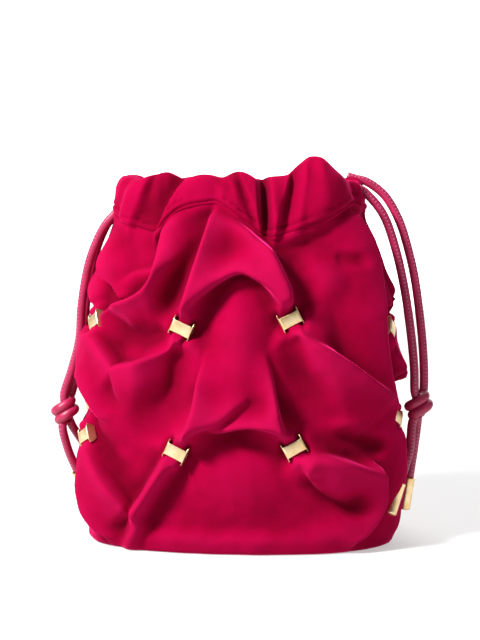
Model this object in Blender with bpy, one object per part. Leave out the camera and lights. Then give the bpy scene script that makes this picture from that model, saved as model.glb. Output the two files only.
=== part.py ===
# Velvet drawstring bucket bag: a soft shell on an oval base, sixteen brass fold clips, a channel in
# four lengths round the mouth, and two leather drawcords that come out at the two side seams.
# Metres, +Z up, the front faces -Y, and the origin is under the middle of the base.
import math

import bmesh
import bpy
from mathutils import Matrix, Vector

MM = 0.001
GAP = 0.3 * MM

# Body. Each row of the profile is a height, a half width and a half depth.
BODY_PROFILE = [
    (3.3 * MM, 86 * MM, 53 * MM),
    (30 * MM, 88 * MM, 55 * MM),
    (60 * MM, 88 * MM, 56 * MM),
    (95 * MM, 85 * MM, 55 * MM),
    (130 * MM, 80 * MM, 51 * MM),
    (158 * MM, 74 * MM, 45 * MM),
    (182 * MM, 68 * MM, 39 * MM),
]
ROUNDNESS = 2.4  # exponent of the oval: 2 is an ellipse, and more is squarer
HALF_POINTS = 17  # points along half an oval
WALL = 3.0 * MM
LINING_WALL = 1.0 * MM
BASE_THICK = 3.0 * MM
BOARD_THICK = 2.0 * MM
LINING_FLOOR = BASE_THICK + BOARD_THICK + 2 * GAP
LINING_START = LINING_FLOOR + LINING_WALL + GAP

# Channel round the mouth, a flattened tube of velvet.
CHANNEL_FLOOR = BODY_PROFILE[-1][0] + GAP
CHANNEL_TALL = 26 * MM
CHANNEL_DEEP = 9.5 * MM
CHANNEL_WALL = 1.5 * MM
MOUTH_HALF_WIDTH = 61 * MM  # to the middle of the channel
MOUTH_HALF_DEPTH = 32 * MM
FRONT_END_Y = 23 * MM  # where a front or back length stops, short of the side seam
SIDE_HALF_LENGTH = 17 * MM
EXIT_HALF_WIDTH = 8 * MM

# Drawcords. The right cord runs in the upper lane of the channel and the left one in the lower.
CORD = 5 * MM
UPPER_LANE = 202 * MM
LOWER_LANE = 188.8 * MM
RIGHT_EXIT = (193 * MM, 215 * MM)  # lowest and highest point of the slot in the channel
LEFT_EXIT = (184.2 * MM, 196 * MM)
KNOT_RADII = (8.2 * MM, 7.2 * MM, 7.6 * MM)
FERRULE_LONG = 18.5 * MM
FERRULE_RADIUS = 3.25 * MM
FERRULE_SIDES = 20
SCREW_RADIUS = 1.1 * MM
SCREW_LONG = 1.6 * MM

# Routes in millimetres, listed from the channel down to the knot, and from the knot to the ferrule.
STUBS = {
    "right_back": [(60.5, 4, 206.6), (65, 4, 205.2)],
    "right_front": [(60.5, -3.5, 202), (65, -3.5, 200.3)],
    "left_back": [(-59.5, 3.8, 193), (-65.6, 3.8, 190.2)],
    "left_front": [(-59.5, -3.8, 193), (-65.6, -3.8, 190.2)],
}
STRANDS = {
    "right_back": [(72.5, 4, 203), (82, 4, 195.5), (89, 4, 184), (93.8, 3.5, 171), (99, 2, 150),
                   (102.6, 0, 125), (104.6, -2, 103), (104.8, -3.5, 86.5)],
    "right_front": [(71.5, -4, 197), (81.5, -4.5, 184.5), (88.5, -5.5, 165), (93.6, -6.5, 142.5),
                    (97.3, -8, 118), (99.2, -9, 99), (99.6, -9.3, 86.5)],
    "left_back": [(-70.4, 4, 186), (-78, 5, 177.5), (-85, 6, 160), (-89.6, 6, 137), (-91.6, 5, 114),
                  (-95, 4, 95), (-98.2, 3, 82)],
    "left_front": [(-70.4, -3.8, 186), (-78.3, -4, 176.5), (-86, -4, 158.5), (-90.6, -4, 135.5),
                   (-92.4, -3.8, 113), (-97.2, -3.4, 95), (-101.6, -3, 82)],
}
KNOTS = {"right": (102, -6.5, 77.6), "left": (-101.8, 0, 71.2)}
TAILS = {
    "right_front": [(98.2, -9.5, 66.6), (96.8, -12.5, 52), (91.8, -19, 35.3)],
    "right_back": [(101.4, -3, 66.6), (99.6, -3, 52), (97.2, -3.4, 35.8)],
    "left_front": [(-103, -2, 60.4), (-100.6, 2.5, 47), (-96.6, 7.5, 34.5)],
    "left_back": [(-98.2, 4.6, 60.6), (-93.9, 14, 50), (-90.5, 26, 41)],
}
ROUTE_STEP = 11 * MM
SWING_AXES = {"right": (69, 205), "left": (-68, 188.1)}  # x and z of the axis each loop lifts on

# Clips. Each pinches a fold: its height, its place across, how far its fold leans from upright
# (positive leans its top to the right, seen from outside), and the face it is on.
CLIP_PLATE_WIDE = 11.9 * MM
CLIP_PLATE_TALL = 6.3 * MM
CLIP_SHEET = 0.9 * MM
CLIP_CHEEK_TALL = 12.6 * MM
CLIP_CHEEK_DEEP = 5.0 * MM
CLIP_STANDS_OFF = 7.4 * MM
CLIPS = {
    "upper_left": (125 * MM, -27 * MM, 24),
    "upper_right": (130 * MM, 32 * MM, -27),
    "lower_left": (58 * MM, -30 * MM, 25),
    "lower_right": (62 * MM, 35 * MM, -28),
}
# The outer clips sit near the side seams: height, side (-1 is left), depth in front of the seam, lean.
OUTER_CLIPS = {
    "upper_far_left": (126 * MM, -1, 22 * MM, -24),
    "upper_far_right": (121 * MM, 1, 15 * MM, 24),
    "lower_far_left": (61 * MM, -1, 24 * MM, -24),
    "lower_far_right": (70 * MM, 1, 16 * MM, 24),
}

COLOURS = {
    "velvet": ((0.45, 0.0, 0.06), 0.9, 0.0),
    "lining": ((0.38, 0.01, 0.07), 0.8, 0.0),
    "board": ((0.5, 0.42, 0.33), 0.85, 0.0),
    "leather": ((0.5, 0.02, 0.12), 0.45, 0.0),
    "brass": ((0.86, 0.64, 0.32), 0.18, 1.0),
}


def makeMaterials():
    made = {}
    for name, (colour, roughness, metallic) in COLOURS.items():
        material = bpy.data.materials.new(name)
        material.use_nodes = True
        shader = material.node_tree.nodes["Principled BSDF"]
        shader.inputs["Base Color"].default_value = (*colour, 1)
        shader.inputs["Roughness"].default_value = roughness
        shader.inputs["Metallic"].default_value = metallic
        made[name] = material
    return made


def addObject(name, data, material, parent=None):
    data.materials.append(MATERIALS[material])
    thing = bpy.data.objects.new(name, data)
    bpy.context.scene.collection.objects.link(thing)
    if parent:
        thing.parent = parent
        thing.matrix_parent_inverse = Matrix.Translation(-parent.location)
    return thing


def addMesh(name, mesh, material, parent=None, smooth=False):
    """Turn a bmesh into an object, faces outwards; parent is an empty at a joint, unturned."""
    bmesh.ops.recalc_face_normals(mesh, faces=mesh.faces)
    data = bpy.data.meshes.new(name)
    mesh.to_mesh(data)
    mesh.free()
    if smooth:
        data.shade_smooth()
        data.set_sharp_from_angle(angle=math.radians(40))
    return addObject(name, data, material, parent)


def addPivot(name, place):
    """An empty on a joint's axis, which the moving pieces hang from."""
    empty = bpy.data.objects.new(name, None)
    empty.location = place
    empty.empty_display_size = 0.01
    bpy.context.scene.collection.objects.link(empty)
    return empty


def profileAt(height):
    """Half width and half depth of the body at a height, along straight lines between its rows."""
    for (low, wideLow, deepLow), (high, wideHigh, deepHigh) in zip(BODY_PROFILE, BODY_PROFILE[1:]):
        if height <= high:
            share = (height - low) / (high - low)
            return wideLow + share * (wideHigh - wideLow), deepLow + share * (deepHigh - deepLow)
    return BODY_PROFILE[-1][1:]


def ovalPoint(halfWidth, halfDepth, angle):
    """A point on the oval; angle 0 is at +X and 90 degrees at +Y."""
    c, s = math.cos(angle), math.sin(angle)
    power = 2 / ROUNDNESS
    return halfWidth * math.copysign(abs(c) ** power, c), halfDepth * math.copysign(abs(s) ** power, s)


def halfOval(halfWidth, halfDepth, front):
    """Points along the front or back half of an oval, ending just short of the side seams."""
    side = -1 if front else 1
    points = []
    for i in range(HALF_POINTS):
        x, y = ovalPoint(halfWidth, halfDepth, math.pi * i / (HALF_POINTS - 1))
        points.append((x, side * max(y, GAP / 2)))
    return points


def ovalPlate(name, inset, low, high, material):
    """A flat plate with the outline of the body's lowest row, less an inset."""
    _, wide, deep = BODY_PROFILE[0]
    outline = []
    for i in range(2 * HALF_POINTS - 2):
        angle = math.pi * i / (HALF_POINTS - 1)
        outline.append(Vector((*ovalPoint(wide - inset, deep - inset, angle), low)))
    mesh = bmesh.new()
    face = mesh.faces.new([mesh.verts.new(p) for p in outline])
    lifted = bmesh.ops.extrude_face_region(mesh, geom=[face])["geom"]
    bmesh.ops.translate(mesh, verts=[g for g in lifted if isinstance(g, bmesh.types.BMVert)],
                        vec=(0, 0, high - low))
    return addMesh(name, mesh, material)


def halfWall(name, front, inset, thick, start, material):
    """Half of a wall that follows the body's profile: outer points out, inner points back."""
    heights = [start] + [row[0] for row in BODY_PROFILE if row[0] > start]
    mesh = bmesh.new()
    loops = []
    for height in heights:
        wide, deep = profileAt(height)
        outer = halfOval(wide - inset, deep - inset, front)
        inner = halfOval(wide - inset - thick, deep - inset - thick, front)
        loops.append([mesh.verts.new((x, y, height)) for x, y in outer + inner[::-1]])
    for below, above in zip(loops, loops[1:]):
        for i in range(len(below)):
            mesh.faces.new((below[i - 1], below[i], above[i], above[i - 1]))
    for loop in (loops[0], loops[-1]):
        for i in range(HALF_POINTS - 1):
            mesh.faces.new((loop[i], loop[i + 1], loop[-2 - i], loop[-1 - i]))
    return addMesh(name, mesh, material, smooth=True)


def channelLength(name, path, parent=None):
    """A flattened tube, open at both ends, that follows a path of (x, y) points."""
    mesh = bmesh.new()
    stations = []
    for i, (x, y) in enumerate(path):
        before, after = Vector(path[max(i - 1, 0)]), Vector(path[min(i + 1, len(path) - 1)])
        along = (after - before).normalized()
        across = Vector((along.y, -along.x, 0))
        station = []
        for deep, low, high in (
            (CHANNEL_DEEP / 2, 0, CHANNEL_TALL),
            (CHANNEL_DEEP / 2 - CHANNEL_WALL, CHANNEL_WALL, CHANNEL_TALL - CHANNEL_WALL),
        ):
            for side, height in ((-1, low), (1, low), (1, high), (-1, high)):
                corner = Vector((x, y, CHANNEL_FLOOR + height)) + across * deep * side
                station.append(mesh.verts.new(corner))
        stations.append(station)
    for a, b in zip(stations, stations[1:]):
        for first in (0, 4):
            for k in range(4):
                p, q = first + k, first + (k + 1) % 4
                mesh.faces.new((a[p], a[q], b[q], b[p]))
    for end in (stations[0], stations[-1]):
        for k in range(4):
            q = (k + 1) % 4
            mesh.faces.new((end[k], end[q], end[4 + q], end[4 + k]))
    return addMesh(name, mesh, "velvet", parent)


def mouthPath(front, endY, steps):
    """Points along the middle of the channel's front or back length, from left to right."""
    side = -1 if front else 1
    endX = MOUTH_HALF_WIDTH * (1 - (endY / MOUTH_HALF_DEPTH) ** ROUNDNESS) ** (1 / ROUNDNESS)
    path = []
    for i in range(steps + 1):
        x = endX * math.sin(math.pi * (i / steps - 0.5))
        y = MOUTH_HALF_DEPTH * (1 - (abs(x) / MOUTH_HALF_WIDTH) ** ROUNDNESS) ** (1 / ROUNDNESS)
        path.append((x, side * y))
    return path


def sideChannel(name, side, exitSlot):
    """The short length of channel over a side seam, with the slot where the cord comes out."""
    path = [(side * MOUTH_HALF_WIDTH, y) for y in (-SIDE_HALF_LENGTH, 0, SIDE_HALF_LENGTH)]
    channel = channelLength(name, path)
    low, high = exitSlot
    cutter = bmesh.new()
    bmesh.ops.create_cube(cutter, size=1)
    bmesh.ops.scale(cutter, verts=cutter.verts, vec=(CHANNEL_DEEP, 2 * EXIT_HALF_WIDTH, high - low))
    # the right slot is open at the top, and the left one stays below the top of the channel
    bmesh.ops.translate(cutter, verts=cutter.verts,
                        vec=(side * (MOUTH_HALF_WIDTH + CHANNEL_DEEP / 4), 0, (low + high) / 2))
    slot = addMesh(name + "_slot_cutter", cutter, "velvet")
    slot.hide_render = True
    slot.display_type = "WIRE"
    cut = channel.modifiers.new("exit slot", "BOOLEAN")
    cut.operation = "DIFFERENCE"
    cut.object = slot
    return channel


def smoothRoute(points, step):
    """Points about a step apart on a smooth curve through the route's own points, in metres."""
    route = [Vector(p) * MM for p in points]
    if len(route) == 2:
        return route
    ends = [2 * route[0] - route[1], *route, 2 * route[-1] - route[-2]]
    fine = []
    for a, b, c, d in zip(ends, ends[1:], ends[2:], ends[3:]):
        for k in range(12):
            t = k / 12
            fine.append(0.5 * (2 * b + (c - a) * t + (2 * a - 5 * b + 4 * c - d) * t * t
                               + (3 * b - a - 3 * c + d) * t ** 3))
    fine.append(route[-1])
    total = sum((q - p).length for p, q in zip(fine, fine[1:]))
    count = max(2, round(total / step))
    spaced, walked, target = [fine[0]], 0.0, total / count
    for p, q in zip(fine, fine[1:]):
        run = (q - p).length
        while walked + run >= target and len(spaced) < count:
            spaced.append(p.lerp(q, (target - walked) / run))
            target += total / count
        walked += run
    return spaced + [fine[-1]]


def cordPiece(name, points, parent=None):
    """A round length of leather cord through the points, with closed ends."""
    curve = bpy.data.curves.new(name, "CURVE")
    curve.dimensions = "3D"
    curve.bevel_depth = CORD / 2
    curve.bevel_resolution = 2
    curve.use_fill_caps = True
    spline = curve.splines.new("POLY")
    spline.points.add(len(points) - 1)
    for point, place in zip(spline.points, points):
        point.co = (*place, 1)
    return addObject(name, curve, "leather", parent)


def knot(name, centre, parent):
    """The plain outer shape of an overhand knot tied in both strands."""
    mesh = bmesh.new()
    bmesh.ops.create_icosphere(mesh, subdivisions=2, radius=1)
    bmesh.ops.scale(mesh, verts=mesh.verts, vec=KNOT_RADII)
    bmesh.ops.translate(mesh, verts=mesh.verts, vec=Vector(centre) * MM)
    return addMesh(name, mesh, "leather", parent, smooth=True)


def ferrule(name, route, parent):
    """A brass tube closed at its tip, butted against the end of a tail, in line with it."""
    heading = (route[-1] - route[-2]).normalized()
    place = route[-1] + heading * (GAP + FERRULE_LONG / 2)
    turn = heading.to_track_quat("Z", "Y").to_matrix().to_4x4()
    mesh = bmesh.new()
    bmesh.ops.create_cone(mesh, cap_ends=True, segments=FERRULE_SIDES, depth=FERRULE_LONG,
                          radius1=FERRULE_RADIUS, radius2=FERRULE_RADIUS)
    bmesh.ops.bevel(mesh, geom=[e for e in mesh.edges if abs(e.verts[0].co.z - e.verts[1].co.z) < GAP],
                    affect="EDGES", offset=0.4 * MM, segments=1, profile=0.5, material=-1)
    bmesh.ops.transform(mesh, verts=mesh.verts, matrix=Matrix.Translation(place) @ turn)
    addMesh(name, mesh, "brass", parent, smooth=True)
    return place, heading


def setScrew(name, place, heading, facing, parent):
    """The small screw that holds a ferrule on its cord, standing out of the ferrule's side."""
    out = facing - heading * facing.dot(heading)
    out.normalize()
    base = place - heading * FERRULE_LONG * 0.26 + out * (FERRULE_RADIUS + GAP)
    mesh = bmesh.new()
    bmesh.ops.create_cone(mesh, cap_ends=True, segments=12, depth=SCREW_LONG,
                          radius1=SCREW_RADIUS, radius2=SCREW_RADIUS)
    turn = out.to_track_quat("Z", "Y").to_matrix().to_4x4()
    bmesh.ops.transform(mesh, verts=mesh.verts,
                        matrix=Matrix.Translation(base + out * SCREW_LONG / 2) @ turn)
    addMesh(name, mesh, "brass", parent, smooth=True)


def clipMesh():
    """A saddle clip about its own centre: the plate faces -Y, its fold runs along Z, and a cheek
    longer than the plate is turned down at each end, towards +Y."""
    half, sheet = CLIP_PLATE_WIDE / 2, CLIP_SHEET
    plate, cheek = CLIP_PLATE_TALL / 2, CLIP_CHEEK_TALL / 2
    # half height of the clip at each station, from the middle of the plate out to a cheek's face
    stations = [(-half, cheek), (-half + sheet, cheek), (-half + 2 * sheet, plate * 1.12),
                (-half * 0.45, plate * 0.97), (half * 0.45, plate * 0.97),
                (half - 2 * sheet, plate * 1.12), (half - sheet, cheek), (half, cheek)]
    mesh = bmesh.new()
    rings = []
    for x, tall in stations:
        rings.append([mesh.verts.new((x, y, z)) for y, z in
                      ((0, -tall), (sheet, -tall), (sheet, tall), (0, tall))])
    for a, b in zip(rings, rings[1:]):
        for k in range(4):
            q = (k + 1) % 4
            mesh.faces.new((a[k], a[q], b[q], b[k]))
    mesh.faces.new(rings[0])
    mesh.faces.new(rings[-1][::-1])
    bmesh.ops.recalc_face_normals(mesh, faces=mesh.faces)
    mesh.normal_update()
    # the cheeks are drawn down from the underside of the two end strips
    under = []
    for face in mesh.faces:
        middle = face.calc_center_median()
        if face.normal.y > 0.9 and abs(middle.x) > half - sheet:
            under.append(face)
    for face in under:
        grown = bmesh.ops.extrude_discrete_faces(mesh, faces=[face])["faces"][0]
        bmesh.ops.translate(mesh, verts=grown.verts, vec=(0, CLIP_CHEEK_DEEP, 0))
        bmesh.ops.scale(mesh, verts=grown.verts, vec=(1, 1, 0.8))
    return mesh


def clip(name, place, outward, lean):
    """Set a clip on the wall at place, facing outward, its fold leaning by an angle in degrees."""
    across = outward.cross(Vector((0, 0, 1))).normalized() * -1
    up = across.cross(outward) * -1
    basis = Matrix((across, -outward, up)).transposed().to_4x4()
    turn = Matrix.Rotation(math.radians(lean), 4, "Y")
    mesh = clipMesh()
    bmesh.ops.transform(mesh, verts=mesh.verts,
                        matrix=Matrix.Translation(place + outward * CLIP_STANDS_OFF) @ basis @ turn)
    addMesh(name, mesh, "brass")


def otherAxis(known, itsHalf, otherHalf):
    """The second coordinate of a point on the oval, from the first."""
    return otherHalf * (1 - (abs(known) / itsHalf) ** ROUNDNESS) ** (1 / ROUNDNESS)


def outwardFrom(x, y, wide, deep):
    """The level outward normal of the oval at a point on it."""
    across = math.copysign((abs(x) / wide) ** (ROUNDNESS - 1) / wide, x)
    along = math.copysign((abs(y) / deep) ** (ROUNDNESS - 1) / deep, y)
    return Vector((across, along, 0)).normalized()


def buildBody():
    ovalPlate("outer_base", 0, 0, BASE_THICK, "velvet")
    ovalPlate("base_board", WALL + GAP, BASE_THICK + GAP, BASE_THICK + GAP + BOARD_THICK, "board")
    ovalPlate("lining_base", WALL + GAP, LINING_FLOOR, LINING_FLOOR + LINING_WALL, "lining")
    for word, front in (("front", True), ("back", False)):
        halfWall("outer_" + word, front, 0, WALL, BASE_THICK + GAP, "velvet")
        halfWall("lining_" + word, front, WALL + GAP, LINING_WALL, LINING_START, "lining")


def buildChannel():
    """The front and back lengths and the cords in them move together as the mouth is drawn in."""
    for word, front in (("front", True), ("back", False)):
        side = -1 if front else 1
        pivot = addPivot("mouth_" + word + "_slide", (0, side * MOUTH_HALF_DEPTH, CHANNEL_FLOOR))
        channelLength("channel_" + word, mouthPath(front, FRONT_END_Y, 14), pivot)
        lane = mouthPath(front, FRONT_END_Y + 1.5 * MM, 12)
        for cord, height in (("right", UPPER_LANE), ("left", LOWER_LANE)):
            points = [Vector((x, y, height)) for x, y in lane]
            cordPiece(cord + "_cord_" + word + "_run", points, pivot)
    sideChannel("channel_right", 1, RIGHT_EXIT)
    sideChannel("channel_left", -1, LEFT_EXIT)
    reach = SIDE_HALF_LENGTH - 1 * MM
    for cord, side, height in (("left", 1, LOWER_LANE), ("right", -1, UPPER_LANE)):
        turn = [Vector((side * MOUTH_HALF_WIDTH, y, height)) for y in (-reach, 0, reach)]
        cordPiece(cord + "_cord_turn", turn)


def buildCords():
    for side, out in (("right", 1), ("left", -1)):
        x, z = SWING_AXES[side]
        draw = addPivot(side + "_cord_pull", Vector((x, 0, z)) * MM)
        swing = addPivot(side + "_loop_swing", Vector((x, 0, z)) * MM)
        centre = Vector(KNOTS[side]) * MM
        knot(side + "_knot", KNOTS[side], swing)
        for word in ("front", "back"):
            key = side + "_" + word
            cordPiece(key + "_stub", smoothRoute(STUBS[key], ROUTE_STEP), draw)
            cordPiece(key + "_strand", smoothRoute(STRANDS[key], ROUTE_STEP), swing)
            tail = smoothRoute(TAILS[key], ROUTE_STEP)
            hang = addPivot(key + "_tail_swing", tail[0] + (centre - tail[0]).normalized() * 4 * MM)
            cordPiece(key + "_tail", tail, hang)
            place, heading = ferrule(key + "_ferrule", tail, hang)
            setScrew(key + "_set_screw", place, heading, Vector((-out, -0.35, 0)), hang)


def buildClips():
    """Eight clips in each of two rows. Those on the back are the front ones turned half round."""
    half = Matrix.Rotation(math.pi, 3, "Z")
    places = {}
    for name, (height, x, lean) in CLIPS.items():
        wide, deep = profileAt(height)
        places[name] = (x, -otherAxis(x, wide, deep), height, lean)
    for name, (height, side, y, lean) in OUTER_CLIPS.items():
        wide, deep = profileAt(height)
        places[name] = (side * otherAxis(y, deep, wide), -y, height, lean)
    for name, (x, y, height, lean) in places.items():
        outward = outwardFrom(x, y, *profileAt(height))
        clip("clip_front_" + name, Vector((x, y, height)), outward, lean)
        clip("clip_back_" + name, half @ Vector((x, y, height)), half @ outward, lean)


for old in list(bpy.data.objects):
    bpy.data.objects.remove(old, do_unlink=True)
MATERIALS = makeMaterials()
buildBody()
buildChannel()
buildCords()
buildClips()
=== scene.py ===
import math
import bmesh
import bpy
import numpy as np
from mathutils import Matrix, Vector, noise


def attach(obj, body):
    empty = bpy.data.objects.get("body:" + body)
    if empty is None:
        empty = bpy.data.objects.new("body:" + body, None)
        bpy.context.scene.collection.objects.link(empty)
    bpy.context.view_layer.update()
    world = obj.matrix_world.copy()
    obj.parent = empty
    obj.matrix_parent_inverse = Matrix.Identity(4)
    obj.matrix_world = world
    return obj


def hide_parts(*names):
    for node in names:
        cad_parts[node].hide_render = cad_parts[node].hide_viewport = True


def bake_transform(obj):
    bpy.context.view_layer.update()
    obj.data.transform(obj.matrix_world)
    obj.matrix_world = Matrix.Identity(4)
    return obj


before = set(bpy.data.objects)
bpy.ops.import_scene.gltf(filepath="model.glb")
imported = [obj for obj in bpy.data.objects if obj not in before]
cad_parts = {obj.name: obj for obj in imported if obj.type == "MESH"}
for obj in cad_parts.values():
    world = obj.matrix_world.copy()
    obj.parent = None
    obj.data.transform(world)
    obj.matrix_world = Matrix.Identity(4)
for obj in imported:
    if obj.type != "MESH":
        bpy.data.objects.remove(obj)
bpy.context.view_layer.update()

mm = 0.001

# The camera and the cords come first. Lengths are in metres unless a name or a note says mm.
view = {"distance": 0.95, "turn": 5.0, "height": 0.2135, "aim": (0, 0, 0.1245), "lens": 93.8}

cords = {
    "thick": 5.0,  # mm, round goat leather stitched along one side
    "sides": 20,
    "step": 1.6,  # mm between the rings of a tube
    "stitchLong": 2.1,  # mm from one stitch to the next
    "intoKnot": 0.65,  # share of the way to a knot's middle that a strand runs on
    "tailIntoKnot": 5,  # mm that a tail runs up into its knot
}

# Routes in mm, from inside the channel to the knot, and from the knot to the ferrule.
strandRoutes = {
    "right_back": [(60.5, 4, 206.6), (65, 4, 205.2), (72.5, 4, 203), (82, 4, 195.5), (89, 4, 184),
                   (93.8, 3.5, 171), (99, 2, 150), (102.6, 0, 125), (104.6, -2, 103), (104.8, -3.5, 86.5)],
    "right_front": [(60.5, -3.5, 202), (65, -3.5, 200.3), (71.5, -4, 197), (81.5, -4.5, 184.5),
                    (88.5, -5.5, 165), (93.6, -6.5, 142.5), (97.3, -8, 118), (99.2, -9, 99),
                    (99.6, -9.3, 86.5)],
    "left_back": [(-59.5, 3.8, 193), (-65.6, 3.8, 190.2), (-70.4, 4, 186), (-78, 5, 177.5), (-85, 6, 160),
                  (-89.6, 6, 137), (-91.6, 5, 114), (-95, 4, 95), (-98.2, 3, 82)],
    "left_front": [(-59.5, -3.8, 193), (-65.6, -3.8, 190.2), (-70.4, -3.8, 186), (-78.3, -4, 176.5),
                   (-86, -4, 158.5), (-90.6, -4, 135.5), (-92.4, -3.8, 113), (-97.2, -3.4, 95),
                   (-101.6, -3, 82)],
}
tailRoutes = {
    "right_front": [(98.2, -9.5, 66.6), (96.8, -12.5, 52), (91.8, -19, 35.3)],
    "right_back": [(101.4, -3, 66.6), (99.6, -3, 52), (97.2, -3.4, 35.8)],
    "left_front": [(-103, -2, 60.4), (-100.6, 2.5, 47), (-96.6, 7.5, 34.5)],
    "left_back": [(-98.2, 4.6, 60.6), (-93.9, 14, 50), (-90.5, 26, 41)],
}
knots = {"right": (102, -6.5, 77.6), "left": (-101.8, 0, 71.2)}


def linear(hexColour):
    parts = []
    for i in (0, 2, 4):
        part = int(hexColour[i:i + 2], 16) / 255
        parts.append(part / 12.92 if part <= 0.04045 else ((part + 0.055) / 1.055) ** 2.4)
    return (*parts, 1)


def addNode(tree, kind, settings=None, **links):
    node = tree.nodes.new(kind)
    for name, value in (settings or {}).items():
        if hasattr(node, name):
            setattr(node, name, value)
        else:
            node.inputs[name].default_value = value
    for name, source in links.items():
        socket = node.inputs[int(name[1:])] if name[0] == "i" and name[1:].isdigit() else node.inputs[name]
        tree.links.new(source, socket)
    return node


def newMaterial(name):
    material = bpy.data.materials.new(name)
    material.use_nodes = True
    return material, material.node_tree, material.node_tree.nodes["Principled BSDF"]


def ramp(tree, factor, stops):
    node = addNode(tree, "ShaderNodeValToRGB", i0=factor)
    elements = node.color_ramp.elements
    elements[0].position, elements[0].color = stops[0][0], stops[0][1]
    elements[1].position, elements[1].color = stops[-1][0], stops[-1][1]
    for position, colour in stops[1:-1]:
        elements.new(position).color = colour
    return node


def cottonVelvet():
    # Cut pile velvet: deep where it faces the eye, and paler and pinker where the pile is seen edge on.
    # two of these colours are painted light: a dark red painted into the hollows as shade and a pale pink
    # painted onto the crests as a highlight, each with its strength
    look = {"pile": "960030", "napAndPaintedLight": "9d0036", "deep": "8c002a", "sheen": "ff2a80",
            "paintedShade": "540010", "raisedAndPaintedHighlight": "bc1050", "paintedShadeAmount": 0.72, "paintedHighlightAmount": 0.34, "mottle": 16,
            "fibre": 0.35}  # mottle and fibre in mm
    material, tree, shader = newMaterial("cotton velvet, cut pile")
    coords = addNode(tree, "ShaderNodeTexCoord")
    cloudy = addNode(tree, "ShaderNodeTexNoise", {"Scale": 1 / (look["mottle"] * mm), "Detail": 5.0,
                                                  "Roughness": 0.62}, Vector=coords.outputs["Object"])
    fibre = addNode(tree, "ShaderNodeTexNoise", {"Scale": 1 / (look["fibre"] * mm), "Detail": 2.0},
                    Vector=coords.outputs["Object"])
    brushed = ramp(tree, cloudy.outputs["Fac"], [(0.3, linear(look["deep"])), (0.52, linear(look["pile"])),
                                                 (0.75, linear(look["napAndPaintedLight"]))])
    # painted light: the colour is darkened in the hollows as painted shade and made paler and pinker on the
    # crests as a painted highlight; the cloth carries this as a float attribute, from -1 to 1
    napAndPaintedLight = addNode(tree, "ShaderNodeAttribute", {"attribute_name": "napAndPaintedLight"})
    paintedShade = addNode(tree, "ShaderNodeMapRange", {"From Min": -1.0, "From Max": 0.0, "To Max": 0.0,
                                                   "To Min": look["paintedShadeAmount"]}, Value=napAndPaintedLight.outputs["Fac"])
    raisedAndPaintedHighlight = addNode(tree, "ShaderNodeMapRange", {"From Min": 0.0, "From Max": 1.0, "To Min": 0.0,
                                                  "To Max": look["paintedHighlightAmount"]}, Value=napAndPaintedLight.outputs["Fac"])
    # painted shade: the darker colour is mixed in where the cloth lies in a hollow
    shaded = addNode(tree, "ShaderNodeMix", {"data_type": "RGBA"}, i0=paintedShade.outputs[0],
                     i6=brushed.outputs[0])
    shaded.inputs[7].default_value = linear(look["paintedShade"])
    # painted highlight: the paler colour is mixed in where the cloth stands on a crest
    withPaintedHighlight = addNode(tree, "ShaderNodeMix", {"data_type": "RGBA"}, i0=raisedAndPaintedHighlight.outputs[0],
                     i6=shaded.outputs[2])
    withPaintedHighlight.inputs[7].default_value = linear(look["raisedAndPaintedHighlight"])
    dusty = addNode(tree, "ShaderNodeMix", {"data_type": "RGBA", "blend_type": "MULTIPLY"})
    dusty.inputs[0].default_value = 0.3
    tree.links.new(withPaintedHighlight.outputs[2], dusty.inputs[6])
    grain = ramp(tree, fibre.outputs["Fac"], [(0.3, (0.62, 0.62, 0.62, 1)), (0.7, (1, 1, 1, 1))])
    tree.links.new(grain.outputs[0], dusty.inputs[7])
    tree.links.new(dusty.outputs[2], shader.inputs["Base Color"])
    bump = addNode(tree, "ShaderNodeBump", {"Strength": 0.25, "Distance": 0.15 * mm},
                   Height=fibre.outputs["Fac"])
    tree.links.new(bump.outputs[0], shader.inputs["Normal"])
    shader.inputs["Roughness"].default_value = 0.95
    shader.inputs["Specular IOR Level"].default_value = 0.03
    shader.inputs["Sheen Weight"].default_value = 1.0
    shader.inputs["Sheen Roughness"].default_value = 0.3
    shader.inputs["Sheen Tint"].default_value = linear(look["sheen"])
    return material


def satinLining():
    # Woven viscose lining: a fine twill with a soft shine.
    look = {"yarn": "a80d33", "shade": "7d0424", "thread": 0.6}  # thread in mm
    material, tree, shader = newMaterial("viscose lining, woven twill")
    coords = addNode(tree, "ShaderNodeTexCoord")
    turned = addNode(tree, "ShaderNodeMapping", {"Rotation": (0.4, 0.7, 0.6)},
                     Vector=coords.outputs["Object"])
    twill = addNode(tree, "ShaderNodeTexWave", {"Scale": 1 / (look["thread"] * mm) / 6.3, "Distortion": 1.5},
                    Vector=turned.outputs[0])
    tone = ramp(tree, twill.outputs["Fac"], [(0.2, linear(look["shade"])), (0.8, linear(look["yarn"]))])
    tree.links.new(tone.outputs[0], shader.inputs["Base Color"])
    bump = addNode(tree, "ShaderNodeBump", {"Strength": 0.3, "Distance": 0.1 * mm},
                   Height=twill.outputs["Fac"])
    tree.links.new(bump.outputs[0], shader.inputs["Normal"])
    shader.inputs["Roughness"].default_value = 0.55
    return material


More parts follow.
